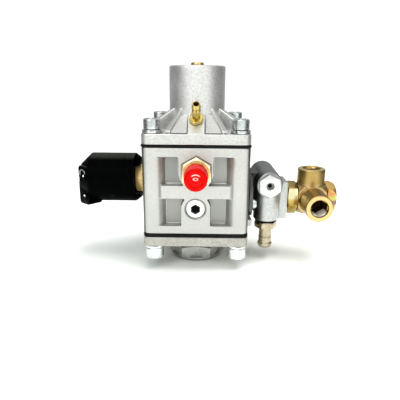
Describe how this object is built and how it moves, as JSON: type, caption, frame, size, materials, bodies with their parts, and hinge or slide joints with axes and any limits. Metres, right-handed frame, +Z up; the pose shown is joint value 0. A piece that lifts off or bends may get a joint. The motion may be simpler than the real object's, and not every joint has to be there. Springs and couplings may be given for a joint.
{
  "type": "gas pressure reducer",
  "caption": "Water-heated gas pressure reducer: square cast body with spring tower, side solenoid shut-off valve, capped front outlet, and a side manifold with hose barb and brass inlet cross.",
  "frame": {"origin": "centre of the base plug's flat underside", "axes": "+Z up along the spring tower; -Y out of the outlet (front); +X towards the inlet cross"},
  "size_m": [0.22, 0.1101, 0.1643],
  "materials": {
    "cast_body": "shot-blasted light grey casting",
    "cast_cover": "shot-blasted light grey casting",
    "cast_bottom": "milled edge, slightly darker grey",
    "cast_manifold": "satin grey casting with turned barrel",
    "machined_alloy": "machined, satin",
    "bright_alloy": "turned bright",
    "zinc": "bright zinc plated",
    "yellow_zinc": "yellow passivated zinc with a rainbow tint",
    "spring_steel": "drawn wire and ground steel",
    "brass": "machined bright",
    "brass_cross": "forged, satin, with machined port faces",
    "nickel_brass": "pale plated brass, satin",
    "sintered_bronze": "sintered",
    "gasket": "matt black",
    "black_plastic": "satin moulded black",
    "red_cap": "glossy soft red"
  },
  "bodies": {
    "housing": {"body_block": "cast_body", "top_cover": "cast_cover", "bottom_cover": "cast_bottom", "top_gasket": "gasket", "bottom_gasket": "gasket", "base_plug": "machined_alloy", "base_plug_seal": "gasket", "top_screw_front_left": "zinc", "top_washer_front_left": "zinc", "bottom_screw_front_left": "zinc", "bottom_washer_front_left": "zinc", "top_screw_front_right": "zinc", "top_washer_front_right": "zinc", "bottom_screw_front_right": "zinc", "bottom_washer_front_right": "zinc", "top_screw_rear_right": "zinc", "top_washer_rear_right": "zinc", "bottom_screw_rear_right": "zinc", "bottom_washer_rear_right": "zinc", "top_screw_rear_left": "zinc", "top_washer_rear_left": "zinc", "bottom_screw_rear_left": "zinc", "bottom_washer_rear_left": "zinc", "main_spring": "spring_steel", "valve_seat": "brass", "valve_spring": "spring_steel", "vacuum_nipple": "brass", "outlet_fitting": "brass", "relief_plug": "bright_alloy", "relief_spring": "spring_steel", "solenoid_base": "brass", "guide_tube": "spring_steel", "coil_body": "black_plastic", "plunger_spring": "spring_steel", "coil_nut": "zinc", "terminal_pin_upper": "zinc", "terminal_pin_lower": "zinc", "side_manifold": "cast_manifold", "manifold_gasket": "gasket", "manifold_screw_front": "zinc", "manifold_screw_rear": "zinc", "filter_plug": "bright_alloy", "filter_element": "sintered_bronze", "water_hose_barb": "nickel_brass", "barb_seal": "gasket", "inlet_union": "brass", "inlet_cross": "brass_cross", "cross_plug": "yellow_zinc"},
    "setting_screw": {"adjusting_screw": "brass"},
    "seat": {"spring_seat": "zinc"},
    "main_valve": {"piston": "machined_alloy", "piston_ring": "gasket", "valve_stem": "spring_steel", "valve_poppet": "gasket"},
    "plunger_body": {"plunger": "spring_steel"},
    "relief_valve": {"relief_poppet": "gasket"},
    "cap": {"outlet_cap": "red_cap"}
  },
  "joints": [
    {"name": "seat_slide", "type": "slide", "parent": "housing", "child": "seat", "axis": [0, 0, -1], "range_m": [0, 0.005], "deforming": ["main_spring"]},
    {"name": "setting_screw_turn", "type": "hinge", "parent": "seat", "child": "setting_screw", "pos_m": [0, 0, 0.146], "axis": [0, 0, 1], "range_deg": [-1442, 0]},
    {"name": "main_valve_lift", "type": "slide", "parent": "housing", "child": "main_valve", "axis": [0, 0, 1], "range_m": [0, 0.0015], "deforming": ["main_spring", "valve_spring"]},
    {"name": "plunger_slide", "type": "slide", "parent": "housing", "child": "plunger_body", "axis": [-1, 0, 0], "range_m": [0, 0.002], "deforming": ["plunger_spring"]},
    {"name": "relief_lift", "type": "slide", "parent": "housing", "child": "relief_valve", "axis": [0, -1, 0], "range_m": [0, 0.0012], "deforming": ["relief_spring"]},
    {"name": "cap_pull", "type": "slide", "parent": "housing", "child": "cap", "axis": [0, -1, 0], "range_m": [0, 0.02]}
  ],
  "couplings": [
    {"joint": "setting_screw_turn", "follows": "seat_slide", "rad_per_m": -5026.5}
  ]
}
